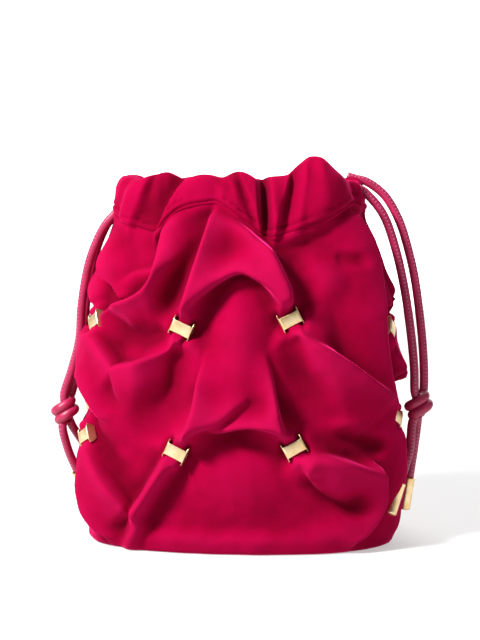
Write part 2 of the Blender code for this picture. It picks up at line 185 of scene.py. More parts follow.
def stitchedLeather():
    # Drum-dyed goat leather: satin, finely pebbled, with a row of light thread along the cord's seam.
    look = {"hide": "96103f", "worn": "ae1c4e", "groove": "7c0c38", "thread": "c84a7c",
            "grain": 0.7}  # grain in mm
    material, tree, shader = newMaterial("goat leather, drum dyed")
    coords = addNode(tree, "ShaderNodeTexCoord")
    pebble = addNode(tree, "ShaderNodeTexVoronoi", {"Scale": 1 / (look["grain"] * mm)},
                     Vector=coords.outputs["Object"])
    cloud = addNode(tree, "ShaderNodeTexNoise", {"Scale": 1 / (6 * mm), "Detail": 3.0},
                    Vector=coords.outputs["Object"])
    tone = ramp(tree, cloud.outputs["Fac"], [(0.35, linear(look["hide"])), (0.7, linear(look["worn"]))])
    # a UV map of its own: U runs round the cord in turns, V along it in stitches
    seam = addNode(tree, "ShaderNodeUVMap", {"uv_map": "seam"})
    split = addNode(tree, "ShaderNodeSeparateXYZ", Vector=seam.outputs[0])
    centred = addNode(tree, "ShaderNodeMath", {"operation": "SUBTRACT"}, i0=split.outputs[0])
    centred.inputs[1].default_value = 0.5
    away = addNode(tree, "ShaderNodeMath", {"operation": "ABSOLUTE"}, i0=centred.outputs[0])
    onSeam = addNode(tree, "ShaderNodeMath", {"operation": "LESS_THAN"}, i0=away.outputs[0])
    onSeam.inputs[1].default_value = 0.028
    phase = addNode(tree, "ShaderNodeMath", {"operation": "FRACT"}, i0=split.outputs[1])
    dash = addNode(tree, "ShaderNodeMath", {"operation": "LESS_THAN"}, i0=phase.outputs[0])
    dash.inputs[1].default_value = 0.5
    thread = addNode(tree, "ShaderNodeMath", {"operation": "MULTIPLY"}, i0=onSeam.outputs[0],
                     i1=dash.outputs[0])
    creased = addNode(tree, "ShaderNodeMix", {"data_type": "RGBA"})
    tree.links.new(onSeam.outputs[0], creased.inputs[0])
    tree.links.new(tone.outputs[0], creased.inputs[6])
    creased.inputs[7].default_value = linear(look["groove"])
    stitched = addNode(tree, "ShaderNodeMix", {"data_type": "RGBA"})
    tree.links.new(thread.outputs[0], stitched.inputs[0])
    tree.links.new(creased.outputs[2], stitched.inputs[6])
    stitched.inputs[7].default_value = linear(look["thread"])
    tree.links.new(stitched.outputs[2], shader.inputs["Base Color"])
    bump = addNode(tree, "ShaderNodeBump", {"Strength": 0.25, "Distance": 0.2 * mm},
                   Height=pebble.outputs["Distance"])
    raisedAndPaintedHighlight = addNode(tree, "ShaderNodeBump", {"Strength": 0.8, "Distance": 0.3 * mm},
                     Height=thread.outputs[0], Normal=bump.outputs[0])
    tree.links.new(raisedAndPaintedHighlight.outputs[0], shader.inputs["Normal"])
    shader.inputs["Roughness"].default_value = 0.42
    shader.inputs["Specular IOR Level"].default_value = 0.5
    return material


def polishedBrass():
    # Cast brass, polished and lightly plated pale gold: sharp reflections, faint hairlines.
    look = {"gold": "f2dcb2", "warm": "e6c48a", "hairline": 0.25}  # hairline in mm
    material, tree, shader = newMaterial("brass, polished and plated")
    coords = addNode(tree, "ShaderNodeTexCoord")
    cloud = addNode(tree, "ShaderNodeTexNoise", {"Scale": 1 / (5 * mm), "Detail": 3.0},
                    Vector=coords.outputs["Object"])
    stretched = addNode(tree, "ShaderNodeMapping", {"Scale": (1, 1, 0.06)}, Vector=coords.outputs["Object"])
    lines = addNode(tree, "ShaderNodeTexNoise", {"Scale": 1 / (look["hairline"] * mm), "Detail": 2.0},
                    Vector=stretched.outputs[0])
    tone = ramp(tree, cloud.outputs["Fac"], [(0.35, linear(look["warm"])), (0.65, linear(look["gold"]))])
    tree.links.new(tone.outputs[0], shader.inputs["Base Color"])
    gloss = addNode(tree, "ShaderNodeMapRange", {"To Min": 0.32, "To Max": 0.46}, Value=lines.outputs["Fac"])
    tree.links.new(gloss.outputs[0], shader.inputs["Roughness"])
    shader.inputs["Metallic"].default_value = 1.0
    return material


def baseBoardCard():
    # Grey-brown bookbinder's board, pressed, with short fibres.
    material, tree, shader = newMaterial("pressed board")
    coords = addNode(tree, "ShaderNodeTexCoord")
    fibre = addNode(tree, "ShaderNodeTexNoise", {"Scale": 1 / (1.2 * mm), "Detail": 4.0},
                    Vector=coords.outputs["Object"])
    tone = ramp(tree, fibre.outputs["Fac"], [(0.3, linear("7c6a55")), (0.7, linear("a8947a"))])
    tree.links.new(tone.outputs[0], shader.inputs["Base Color"])
    shader.inputs["Roughness"].default_value = 0.85
    return material


velvet = cottonVelvet()
lining = satinLining()
leather = stitchedLeather()
brass = polishedBrass()
board = baseBoardCard()
print("materials made")


def finishPiece(name, data, material, sharp=None):
    # sharp is the angle in degrees from which an edge is drawn sharp
    data.materials.clear()
    data.materials.append(material)
    data.shade_smooth()
    if sharp:
        data.set_sharp_from_angle(angle=math.radians(sharp))
    piece = bpy.data.objects.new(name, data)
    bpy.context.scene.collection.objects.link(piece)
    return piece


def meshOf(name, bm):
    data = bpy.data.meshes.new(name)
    bm.to_mesh(data)
    bm.free()
    return data


def spline(points, pieces):
    # more points between those given, on a smooth curve through them
    ends = [2 * points[0] - points[1], *points, 2 * points[-1] - points[-2]]
    fine = []
    for a, b, c, d in zip(ends, ends[1:], ends[2:], ends[3:]):
        for k in range(pieces):
            t = k / pieces
            fine.append(0.5 * (2 * b + (c - a) * t + (2 * a - 5 * b + 4 * c - d) * t * t
                               + (3 * b - a - 3 * c + d) * t ** 3))
    return [*fine, points[-1]]


def smoothRoute(points, step):
    # points a step apart, in mm, along a smooth route
    fine = spline([Vector(p) * mm for p in points], 16)
    total = sum((q - p).length for p, q in zip(fine, fine[1:]))
    count = max(4, round(total / (step * mm)))
    spaced, walked, target = [fine[0]], 0.0, total / count
    for p, q in zip(fine, fine[1:]):
        run = (q - p).length
        while walked + run >= target and len(spaced) < count:
            spaced.append(p.lerp(q, (target - walked) / run))
            target += total / count
        walked += run
    return [*spaced, fine[-1]]


def tube(bm, points, radius, facing, sides=None, ridge=0.0):
    # a round cord along the points, with a UV map that has U round it and V in stitches along it;
    # the seam, at U 0.5, is on the side that facing points to, and ridge lifts it a little
    sides = sides or cords["sides"]
    uvLayer = bm.loops.layers.uv.get("seam") or bm.loops.layers.uv.new("seam")
    across = None
    rings, walked = [], 0.0
    along = []
    for i, place in enumerate(points):
        heading = (points[min(i + 1, len(points) - 1)] - points[max(i - 1, 0)]).normalized()
        want = facing if across is None else across
        across = (want - heading * want.dot(heading)).normalized()
        side = heading.cross(across)
        if i:
            walked += (place - points[i - 1]).length
        along.append(walked / (cords["stitchLong"] * mm))
        ring = bmesh.ops.create_circle(bm, cap_ends=False, segments=sides, radius=radius)["verts"]
        turn = Matrix((side, across, heading)).transposed().to_4x4()
        for k, vert in enumerate(ring):
            angle = 2 * math.pi * (k / sides - 0.5)
            grown = radius * (1 + ridge * math.exp(-(angle / 0.32) ** 2))
            vert.co = Vector((math.sin(angle) * grown, math.cos(angle) * grown, 0))
        bmesh.ops.transform(bm, verts=ring, matrix=Matrix.Translation(place) @ turn)
        rings.append(ring)
    for i, (a, b) in enumerate(zip(rings, rings[1:])):
        for k in range(sides):
            q = (k + 1) % sides
            face = bm.faces.new((a[k], b[k], b[q], a[q]))
            for loop in face.loops:
                ringIndex = i + (loop.vert in (b[k], b[q]))
                u = k / sides if loop.vert in (a[k], b[k]) else (k + 1) / sides
                loop[uvLayer].uv = (u, along[ringIndex])
    for ring in (rings[0], rings[-1]):
        bm.faces.new(ring)
    return rings


def buildStrands():
    made = {}
    for name, route in strandRoutes.items():
        side = name.split("_")[0]
        out = 1 if side == "right" else -1
        # the last point runs on into the knot
        inKnot = Vector(route[-1]).lerp(Vector(knots[side]), cords["intoKnot"])
        points = smoothRoute([*route, tuple(inKnot)], cords["step"])
        bm = bmesh.new()
        seamSide = Vector((0.2 * out, -1, 0.3)) if name == "right_front" else Vector((out, -0.8, 0.2))
        tube(bm, points, cords["thick"] / 2 * mm, seamSide, ridge=0.05)
        bmesh.ops.recalc_face_normals(bm, faces=bm.faces)
        strand = finishPiece(name + "_cord", meshOf(name, bm), leather)
        made[name] = (strand, points)
    return made


def buildTails():
    made = {}
    for name, route in tailRoutes.items():
        out = 1 if name.startswith("right") else -1
        # the first points run up into the knot
        start = Vector(route[0])
        centre = Vector(knots[name.split("_")[0]])
        inner = start + (centre - start).normalized() * cords["tailIntoKnot"]
        points = smoothRoute([tuple(inner), *route], cords["step"])
        bm = bmesh.new()
        tube(bm, points, cords["thick"] / 2 * mm, Vector((0.5 * out, -1, 0)), ridge=0.05)
        bmesh.ops.recalc_face_normals(bm, faces=bm.faces)
        tail = finishPiece(name + "_tail_cord", meshOf(name + "_tail", bm), leather)
        made[name] = (tail, points)
    return made


# Two turns of the doubled cord, side by side and rising to the outer side. Lengths in mm, tilt in degrees.
knot = {"turns": 2.0, "radius": 5.2, "pitch": 5.3, "tilt": 22, "squeeze": 0.85, "thick": 5.8, "rings": 70}


def buildKnot(side):
    centre = Vector(knots[side]) * mm
    count = knot["rings"]
    path = []
    for i in range(count + 1):
        t = i / count
        angle = 2 * math.pi * knot["turns"] * (t - 0.5) + math.pi * 0.5
        across = math.cos(angle) * knot["radius"]
        deep = math.sin(angle) * knot["radius"] * knot["squeeze"]
        path.append(Vector((across, deep, (t - 0.5) * knot["turns"] * knot["pitch"])) * mm)
    turn = Matrix.Rotation(math.radians(-knot["tilt"]), 4, "Y")
    path = [centre + turn @ p for p in path]
    # the ends of the winding tuck into its middle
    path[0] = path[1] + (centre - path[1]) * 0.35
    path[-1] = path[-2] + (centre - path[-2]) * 0.35
    bm = bmesh.new()
    tube(bm, path, knot["thick"] / 2 * mm, Vector((0, 0, 1)), ridge=0.03)
    bmesh.ops.recalc_face_normals(bm, faces=bm.faces)
    piece = finishPiece(side + "_knot_winding", meshOf(side + "_knot", bm), leather)
    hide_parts(side + "_knot")
    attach(piece, side + "_loop")
    return piece


# A drawn tube with a rolled lip at its mouth and a rounded tip, and the grub screw in its side, in mm.
ferrule = {"long": 18.5, "radius": 3.25, "lip": 0.25, "round": 0.7, "bore": 2.65, "gap": 0.3}
screw = {"radius": 1.1, "long": 1.6, "slotWide": 0.35, "slotDeep": 0.35, "proud": 0.1, "along": 0.26}


def ferruleFrame(name):
    route = tailRoutes[name]
    points = smoothRoute(route, 11)
    heading = (points[-1] - points[-2]).normalized()
    place = points[-1] + heading * (ferrule["gap"] + ferrule["long"] / 2) * mm
    return place, heading


def buildFerrule(name):
    half, r = ferrule["long"] / 2, ferrule["radius"]
    profile = [(ferrule["bore"], -half + 2.5), (ferrule["bore"], -half + 0.25), (r - 0.35, -half),
               (r + ferrule["lip"] - 0.1, -half + 0.1), (r + ferrule["lip"], -half + 0.5),
               (r + ferrule["lip"] - 0.1, -half + 0.95), (r, -half + 1.15), (r, half - 1.3),
               (r - 0.05, half - ferrule["round"]), (r - 0.3, half - 0.25), (r - 0.8, half), (0.0, half)]
    bm = bmesh.new()
    chain = [bm.verts.new((x * mm, 0, z * mm)) for x, z in profile]
    edges = [bm.edges.new(pair) for pair in zip(chain, chain[1:])]
    bmesh.ops.spin(bm, geom=chain + edges, cent=(0, 0, 0), axis=(0, 0, 1), dvec=(0, 0, 0),
                   angle=2 * math.pi, steps=40, use_merge=True, use_duplicate=False)
    bmesh.ops.remove_doubles(bm, verts=bm.verts, dist=0.00001)
    bmesh.ops.holes_fill(bm, edges=[e for e in bm.edges if e.is_boundary], sides=0)
    place, heading = ferruleFrame(name)
    turn = heading.to_track_quat("Z", "Y").to_matrix().to_4x4()
    bmesh.ops.recalc_face_normals(bm, faces=bm.faces)
    bmesh.ops.transform(bm, verts=bm.verts, matrix=Matrix.Translation(place) @ turn)
    data = meshOf(name + "_ferrule", bm)
    piece = finishPiece(name + "_ferrule_tube", data, brass, sharp=38)
    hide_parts(name + "_ferrule")
    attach(piece, name + "_end")
    return piece


def buildSetScrew(name):
    # a round headed grub screw with a driver slot
    out = 1 if name.startswith("right") else -1
    place, heading = ferruleFrame(name)
    facing = Vector((-out, -0.35, 0))
    outward = (facing - heading * facing.dot(heading)).normalized()
    base = place - heading * ferrule["long"] * mm * screw["along"]
    base = base + outward * (ferrule["radius"] + screw["proud"]) * mm
    bm = bmesh.new()
    bmesh.ops.create_cone(bm, cap_ends=True, segments=24, depth=screw["long"] * mm,
                          radius1=screw["radius"] * mm, radius2=screw["radius"] * mm)
    top = [e for e in bm.edges if min(v.co.z for v in e.verts) > screw["long"] * mm * 0.49]
    bmesh.ops.bevel(bm, geom=top, affect="EDGES", offset=0.3 * mm, segments=3, profile=0.5, material=-1)
    halfSlot = screw["slotWide"] / 2 * mm
    for cut in (-halfSlot, halfSlot):
        bmesh.ops.bisect_plane(bm, geom=bm.verts[:] + bm.edges[:] + bm.faces[:], plane_co=(cut, 0, 0),
                               plane_no=(1, 0, 0))
    slot = [f for f in bm.faces if f.normal.z > 0.9 and abs(f.calc_center_median().x) < halfSlot]
    sunk = bmesh.ops.extrude_face_region(bm, geom=slot)["geom"]
    bmesh.ops.delete(bm, geom=slot, context="FACES")
    bmesh.ops.translate(bm, verts=[g for g in sunk if isinstance(g, bmesh.types.BMVert)],
                        vec=(0, 0, -screw["slotDeep"] * mm))
    bmesh.ops.recalc_face_normals(bm, faces=bm.faces)
    turn = outward.to_track_quat("Z", "Y").to_matrix().to_4x4()
    bmesh.ops.transform(bm, verts=bm.verts,
                        matrix=Matrix.Translation(base + outward * screw["long"] / 2 * mm) @ turn)
    data = meshOf(name + "_screw", bm)
    piece = finishPiece(name + "_grub_screw", data, brass, sharp=38)
    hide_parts(name + "_set_screw")
    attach(piece, name + "_end")
    return piece


def buildCords():
    strands, tails = buildStrands(), buildTails()
    for side, out in (("right", 1), ("left", -1)):
        knotPiece = buildKnot(side)
        for word in ("front", "back"):
            name = side + "_" + word
            strand, points = strands[name]
            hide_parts(name + "_stub", name + "_strand")
            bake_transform(strand)
            tail, points = tails[name]
            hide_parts(name + "_tail")
            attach(tail, name + "_end")
            ferrulePiece, screwPiece = buildFerrule(name), buildSetScrew(name)


def buildCamera():
    turn = math.radians(view["turn"])
    place = Vector((view["distance"] * math.sin(turn), -view["distance"] * math.cos(turn), view["height"]))
    data = bpy.data.cameras.new("camera")
    data.lens = view["lens"]
    data.sensor_width = 36
    camera = bpy.data.objects.new("camera", data)
    camera.location = place
    camera.rotation_euler = (Vector(view["aim"]) - place).to_track_quat("-Z", "Y").to_euler()
    bpy.context.scene.collection.objects.link(camera)
    bpy.context.scene.camera = camera


buildCamera()
buildCords()
print("camera and cords made")

# The velvet body. Places on the wall are (s, z) in mm: s is measured round the wall from the middle of
# the front, to the right, and z is the height. The back repeats the front, turned half round.
body = {
    "profile": [(0.0, 85.5, 52.5), (4, 86, 53), (30, 88, 55), (60, 88, 56), (95, 85, 55), (130, 80, 51),
                (158, 74, 45), (182, 68, 39), (196, 65, 36.5), (212, 63, 35)],  # height, half width, depth
    "roundness": 2.4,
    "halfRound": 229.6,  # mm from one side seam to the other
    "columns": 230,
    "rows": 130,
    "thick": 1.6,
    "turnUnder": 2.2,  # radius of the bottom edge
    "paintedLightSoft": 60,  # how often the heights are averaged to find the cloth's level around a place, for the painted shade and highlight
    "paintedLightHeight": 3.2,  # mm above that level at which the painted highlight is full; as far below it the painted shade is full
    "flat": (0.3, 0.22),  # each half as cut, before the clips draw it in
}
# Where the body is sewn to the band, and the top of the band: points (s, z).
seamLine = [(-114.8, 189), (-105, 187), (-80, 181), (-60, 176.5), (-52, 176), (-46, 184), (-38, 189.5),
            (-29, 192), (-12, 194), (0, 187.5), (10, 181.5), (18, 175.5), (24, 173.5), (40, 177),
            (57, 182), (86, 193), (105, 191), (114.8, 189)]
rimFront = [(-114.8, 207), (-98, 207), (-88, 206), (-76, 205), (-66, 207), (-53, 209.5), (-46, 207),
            (-39.5, 204.5), (-25, 208), (-16, 207.5), (-9, 205.5),
            (0, 209.5), (6.5, 209.5), (15.5, 206), (19, 203), (23, 206.5), (34, 207), (41, 207.5),
            (46, 211.5), (57, 218), (66, 217.5), (78, 209), (90, 204.5), (114.8, 204)]
rimBack = [(-114.8, 204), (-80, 205.5), (-62, 203), (-40, 206), (-20, 203.5), (0, 206), (18, 203),
           (40, 206.5), (60, 204), (85, 204), (98, 207), (114.8, 207.5)]

clipPlaces = [(-27.5, 125, 24), (33, 130, -27), (-28, 58, 25), (32.5, 61, -28),
              (-86, 126, -24), (101, 122, 24), (-84, 62, -24), (95, 73, 24)]
clipFold = {"high": 6.2, "flat": 4.0, "wide": 5.1, "reach": 13.0, "flare": 11.0, "long": 9.0}

# Ridges and lips of the folds: points (s, z, height), then the run of the slope on the left and on the
# right of the direction of travel, each at the start and at the end.
ridges = [
    # the tent between the two upper clips: its left side, its right side and its lower lip
    ([(-12, 196, 4), (-16, 180, 8), (-21, 162, 10), (-26.5, 148, 10.5), (-30.5, 136, 9.5), (-33, 128, 7.5)],
     (26, 9), (5, 4.5)),
    ([(2, 190, 5), (16, 179, 9), (23, 170, 10), (30, 158, 10.5), (35, 147, 10.5), (37, 138, 9.5),
      (38.5, 132, 7.5)], (5, 4.5), (26, 9)),
    ([(-22.5, 124, 7), (-20, 133, 8.5), (-15, 141, 9.5), (-7, 149.5, 10), (5, 155, 9.5), (15, 151, 10),
      (22, 143, 9.5), (26, 134, 8.5), (27.5, 128, 7)], (22, 9), (4.5, 4.5)),
    # the fold that hangs from the band and swings left to the far left clip
    ([(-48, 186, 7), (-47, 170, 9.5), (-44, 157, 10.5), (-48, 147, 10), (-57, 141, 10), (-68, 137, 9),
      (-80, 130, 8)], (17, 14), (5, 5)),
    # the left edge of the front, and the small fold beside it
    ([(-104, 188, 2), (-101, 176, 3), (-96, 165, 6), (-90, 157, 8), (-82, 150, 8), (-72, 141, 6)],
     (22, 10), (5, 5)),
    ([(-76, 152, 4), (-60, 155, 6), (-48, 157, 6)], (4, 4), (6, 6)),
    # the left pouch: its lip from each clip, its outer edge and the crease under the upper left clip
    ([(-32.5, 121, 7.5), (-38, 114, 9), (-48, 108, 9.5), (-62, 104, 8.5)], (34, 34), (5, 5)),
    ([(-104, 122, 7), (-92, 121, 8), (-80, 119, 9.5), (-70, 111, 9.5), (-62, 104, 8.5)], (5, 5), (34, 34)),
    ([(-100, 117, 6), (-98, 104, 8), (-92, 93, 8.5), (-82, 84, 8), (-74, 74, 5)], (30, 20), (5, 5)),
    ([(-23.5, 121, 7), (-29, 106, 8), (-33, 92, 6)], (6, 6), (30, 30)),
    # the diamond in the middle: its two sides and its lower lips, one behind the other
    ([(-16, 110, 4), (-17.5, 98, 6.5), (-19.5, 85, 8.5), (-25.5, 72, 9), (-32, 61, 7)], (26, 9), (5, 4.5)),
    ([(22, 108, 4.5), (23, 94, 7), (25, 82, 8.5), (31, 72, 8.5), (37, 63, 7)], (5, 4.5), (26, 9)),
    ([(-22.5, 57, 7), (-19.5, 63, 8), (-12, 70, 8.5), (0, 79, 8.5), (9, 84, 6)], (22, 20), (4.5, 4.5)),
    ([(-6, 69, 6), (3, 71.5, 8.5), (12, 72, 9), (20, 68, 8.5), (25, 63, 8), (27, 58, 7)], (12, 9), (5, 4.5)),
    # the middle of the front, from under the tent down into the diamond
    ([(5, 150, 4), (5, 132, 5.5), (4, 114, 7), (3, 96, 7), (2, 84, 6)], (30, 30), (28, 30)),
    # the right pouch under the upper right clip
    ([(38.5, 128, 7.5), (50, 117, 9.5), (62, 107, 10), (74, 97, 9.5), (84, 88, 8.5)], (5, 5), (30, 30)),
    ([(31.5, 124, 7), (36, 113, 8), (40, 101, 6)], (24, 24), (5, 6)),
    # the long edge down the right of the front
    ([(86, 188, 6), (93, 172, 8), (92, 150, 9), (87, 125, 8.5), (87, 105, 8), (90, 90, 8), (95, 68, 9),
      (99, 40, 8), (104, 15, 5), (106, 3, 2)], (6, 6), (26, 22)),
    # the lower left: the narrow fold under the clip, the corner pouch and its outer edge
    ([(-31.5, 51, 8), (-41, 34, 9), (-50, 20, 8), (-57, 5, 4)], (8, 10), (8, 10)),
    ([(-79, 60, 7.5), (-70, 46, 9), (-62, 36, 9), (-55, 27, 7)], (5, 5), (28, 28)),
    ([(-89, 50, 6), (-88, 34, 8), (-82, 18, 8), (-74, 5, 4)], (24, 20), (6, 6)),
    # the lower right pouch: its top, its outer edge and the inner lip
    ([(38.5, 61, 7.5), (53, 55, 9.5), (66, 50, 9.5), (78, 45, 8.5)], (5, 5), (20, 20)),
    ([(78, 46, 8.5), (80, 32, 8.5), (77, 18, 7), (69, 6, 4)], (5, 5), (20, 20)),
    ([(30, 57, 7), (38, 45, 8.5), (48, 35, 8.5), (58, 29, 6)], (14, 14), (6, 6)),
    # the tents over the side seam, right of the right clips
    ([(116, 190, 2), (112, 172, 5), (109, 152, 8), (106, 136, 8)], (20, 9), (6, 5)),
    ([(107, 134, 7), (114, 138, 9), (124, 139, 9.5), (133, 135, 8)], (22, 22), (5, 5)),
    ([(96, 110, 8), (104, 101, 9.5), (113, 92, 10), (122, 90, 9), (133, 97, 8)], (20, 20), (6, 6)),
    ([(91, 60, 8), (97, 50, 8.5), (106, 40, 8), (112, 20, 5)], (16, 16), (6, 6)),
]
# Broad swellings: middle (s, z), height, and reach along s and z.
swellings = [
    (3, 118, 6.5, 27, 44), (62, 150, 6, 30, 24), (5, 42, 6, 40, 30), (-64, 78, 6, 26, 24),
    (62, 72, 6, 24, 16), (60, 12, 4, 30, 12), (-80, 12, 4, 30, 12), (114, 112, 7, 12, 20),
    (110, 60, 6, 14, 20), (0, 8, 2.5, 120, 9),
]
# Hollows: points (s, z, share of the height that is lost) and reach.
hollows = [
    ([(-24, 166, 0.4), (-30, 152, 0.8), (-35, 140, 0.8), (-38, 131, 0.5)], 6),
    ([(-51, 176, 0.9), (-53, 167, 1.0), (-57, 158, 1.0), (-66, 151, 0.6)], 12),
    ([(-70, 125, 0.6), (-60, 118.5, 1.0), (-50, 117.5, 1.0), (-42, 121, 0.9)], 7.5),
    ([(-29, 106, 0.8), (-32, 94, 1.0), (-36, 82, 1.0), (-41, 70, 0.9)], 12),
    ([(33, 112, 0.6), (36, 100, 1.0), (41, 88, 1.0), (46, 77, 0.7)], 10),
    ([(18, 177, 0.6), (30, 173, 1.0), (44, 172, 0.9), (58, 177, 0.5)], 7),
    ([(40, 160, 0.5), (46, 148, 0.5)], 6),
    ([(69, 162, 0.4), (78, 161, 0.4)], 4),
    ([(48, 66, 0.5), (60, 64, 0.9), (76, 59, 0.8)], 6),
    ([(43, 41, 0.6), (51, 33, 0.9), (62, 28, 0.7)], 7),
    ([(-77, 62, 0.5), (-68, 54, 1.0), (-60, 44, 1.0), (-53, 36, 0.7)], 6),
    ([(-27, 48, 0.5), (-35, 34, 0.8), (-43, 20, 0.7)], 6),
    ([(-66, 2, 0.5), (-54, 16, 0.4)], 5),
    ([(100, 128, 0.6), (98, 108, 0.7)], 6),
    ([(-106, 140, 0.6), (-98, 136, 0.6)], 6),
]


def smoothstep(x, low, high):
    t = np.clip((x - low) / (high - low), 0, 1)
    return t * t * (3 - 2 * t)


def wrapped(s):
    return (s + body["halfRound"] / 2) % body["halfRound"] - body["halfRound"] / 2


def ovalTable():
    n = body["roundness"]
    angle = np.linspace(-math.pi / 2, 3 * math.pi / 2, 7201)
    x = 85 * np.sign(np.cos(angle)) * np.abs(np.cos(angle)) ** (2 / n)
    y = 55 * np.sign(np.sin(angle)) * np.abs(np.sin(angle)) ** (2 / n)
    run = np.concatenate([[0], np.cumsum(np.hypot(np.diff(x), np.diff(y)))])
    return run * (2 * body["halfRound"] / run[-1]), angle


roundRun, roundAngle = ovalTable()


def wall(s, z):
    # the place and the level outward normal of the plain wall, as arrays in mm
    n = body["roundness"]
    heights = [row[0] for row in body["profile"]]
    wide = np.interp(z, heights, [row[1] for row in body["profile"]])
    deep = np.interp(z, heights, [row[2] for row in body["profile"]])
    angle = np.interp(s % (2 * body["halfRound"]), roundRun, roundAngle)
    c, d = np.cos(angle), np.sin(angle)
    x = wide * np.sign(c) * np.abs(c) ** (2 / n)
    y = deep * np.sign(d) * np.abs(d) ** (2 / n)
    outX = np.sign(x) * (np.abs(x) / wide) ** (n - 1) / wide
    outY = np.sign(y) * (np.abs(y) / deep) ** (n - 1) / deep
    size = np.hypot(outX, outY)
    return np.stack([x, y, z], 1), np.stack([outX / size, outY / size, np.zeros_like(x)], 1)


def alongLine(line, s, z):
    # each point against a line of (s, z, height): how far it is to the left, the line's height and the
    # share of the way along it there, how far past an end it is, and the line's left-hand direction
    best = np.full(len(s), 1e9)
    left, height, share, past = (np.zeros(len(s)) for k in range(4))
    leftwards = np.zeros((len(s), 2))
    count = len(line) - 1
    for i, (a, b) in enumerate(zip(line, line[1:])):
        run = np.array([b[0] - a[0], b[1] - a[1]])
        long = np.hypot(*run)
        run = run / long
        ds, dz = wrapped(s - a[0]), z - a[1]
        walked = ds * run[0] + dz * run[1]
        off = run[0] * dz - run[1] * ds
        inside = np.clip(walked, 0, long)
        far = np.hypot(off, walked - inside)
        near = far < best
        best = np.where(near, far, best)
        outer = (walked < 0) & (i == 0) | (walked > long) & (i == count - 1)
        signed = np.where(outer, off, np.copysign(far, off))
        left = np.where(near, signed, left)
        past = np.where(near, np.where(outer, np.abs(walked - inside), 0), past)
        t = inside / long
        height = np.where(near, a[2] + t * (b[2] - a[2]), height)
        share = np.where(near, (i + t) / count, share)
        leftwards[near] = (-run[1], run[0])
    return left, height, share, past, leftwards


def bell(x):
    return 0.5 + 0.5 * np.cos(math.pi * np.clip(x, 0, 1))


def slack(x):
    # the side of a fold that sags away from its crest, steep at first and then flatter
    return np.clip(1 + 0.05 - np.sqrt(np.clip(x, 0, 1) ** 2 + 0.05 ** 2), 0, 1) ** 1.7


relief = {
    "front": 1.8,  # how much the folds' heights are raised on the front, and below it on the sides
    "side": 1.15,
    "power": 4.0,  # how sharply one fold gives way to the next
    "overhang": 5.0,  # mm that a lip is drawn out over its foot
    "drop": 6.5,  # mm across the steep side of a fold
    "follow": 12.0,  # mm behind a lip that are drawn along with it
    "floor": -1.0,  # mm, the lowest that the cloth goes below the wall
}


def foldHeight(s, z):
    # how far the cloth stands off the plain wall, in mm, and how far it is drawn along the wall, in
    # mm of s and z: each lip is drawn out over the foot of its steep side
    power = relief["power"]
    facing = wall(s, z)[1][:, 1]
    stand = relief["side"] + (relief["front"] - relief["side"]) * facing ** 2
    total = np.full(len(s), 1e-6)
    drawn = np.zeros((len(s), 2))
    for line, leftReach, rightReach in ridges:
        left, height, share, past, leftwards = alongLine(spline([np.array(p, float) for p in line], 4), s, z)
        leftNow = leftReach[0] + share * (leftReach[1] - leftReach[0])
        rightNow = rightReach[0] + share * (rightReach[1] - rightReach[0])
        steep = 1 if leftReach[0] < 7 else -1 if rightReach[0] < 7 else 0
        height = stand * height * bell(past / 11)
        if steep:
            off = steep * left + relief["overhang"]
            gentle = np.where(steep > 0, rightNow, leftNow)
            shape = np.where(off > 0, bell(off / relief["drop"]), slack(-off / gentle / 1.35))
            pull = np.where(off > 0, bell(off / relief["drop"]), bell(-off / relief["follow"]))
            pull = pull * steep * relief["overhang"] * bell(past / 8)
        else:
            shape = bell(np.abs(left) / np.where(left > 0, leftNow, rightNow))
            pull = 0 * left
        weight = (height * shape) ** power
        total += weight
        drawn += (weight * pull)[:, None] * leftwards
    drawn = drawn / total[:, None]
    for middleS, middleZ, height, reachS, reachZ in swellings:
        ds = wrapped(s - middleS)
        far = np.hypot(ds / reachS, (z - middleZ) / reachZ)
        total += (height * bell(far)) ** power
    high = total ** (1 / power)
    for line, reach in hollows:
        left, lost, share, past, leftwards = alongLine(line, s, z)
        high = high - (high - relief["floor"]) * lost * bell(np.hypot(left, past) / reach / 1.5)
    for clipS, clipZ, lean in clipPlaces:
        lean = math.radians(lean)
        ds = wrapped(s - clipS)
        along = ds * math.sin(lean) + (z - clipZ) * math.cos(lean)
        across = ds * math.cos(lean) - (z - clipZ) * math.sin(lean)
        # the fold narrows to the clip and swells again past its ends
        past = smoothstep(np.abs(along), 2.6, clipFold["long"])
        top = clipFold["high"] + (clipFold["flare"] - clipFold["high"]) * past
        spread = smoothstep(np.abs(along), 6.0, 14)
        flat = clipFold["flat"] * (1 + spread)
        edge = clipFold["wide"] * (1 + spread * 2)
        neck = top * (1 - smoothstep(np.abs(across), flat, edge)) + 0.2
        pucker = 0.5 * np.cos(across * 1.9) * np.exp(-((np.abs(along) - 8) / 4) ** 2)
        near = 1 - smoothstep(np.hypot(across / 0.8, along), 5.5, clipFold["reach"])
        high = high * (1 - near) + (neck + pucker) * near
        drawn = drawn * (1 - near)[:, None]
    return high, drawn


def softLine(points, s, blur):
    # the line through the points, softened over a length of blur mm
    placesRound = [p[0] for p in points]
    heights = [p[1] for p in points]
    level = np.zeros(len(s))
    weights = 0.0
    for shift in np.linspace(-2, 2, 9):
        weight = math.exp(-shift ** 2 / 1.5)
        level += weight * np.interp(wrapped(s + shift * blur), placesRound, heights)
        weights += weight
    return level / weights


def seamHeight(s):
    return softLine(seamLine, s, 2.2)


def noiseAt(points, size, seed):
    return np.array([noise.noise(Vector(p) / size + Vector((seed, seed * 1.7, seed * 0.3))) for p in points])


def gridMesh(columns, rows):
    bm = bmesh.new()
    bmesh.ops.create_grid(bm, x_segments=columns, y_segments=rows, size=1)
    bm.verts.ensure_lookup_table()
    co = np.array([v.co for v in bm.verts])
    return bm, (co[:, 0] + 1) / 2, (co[:, 1] + 1) / 2


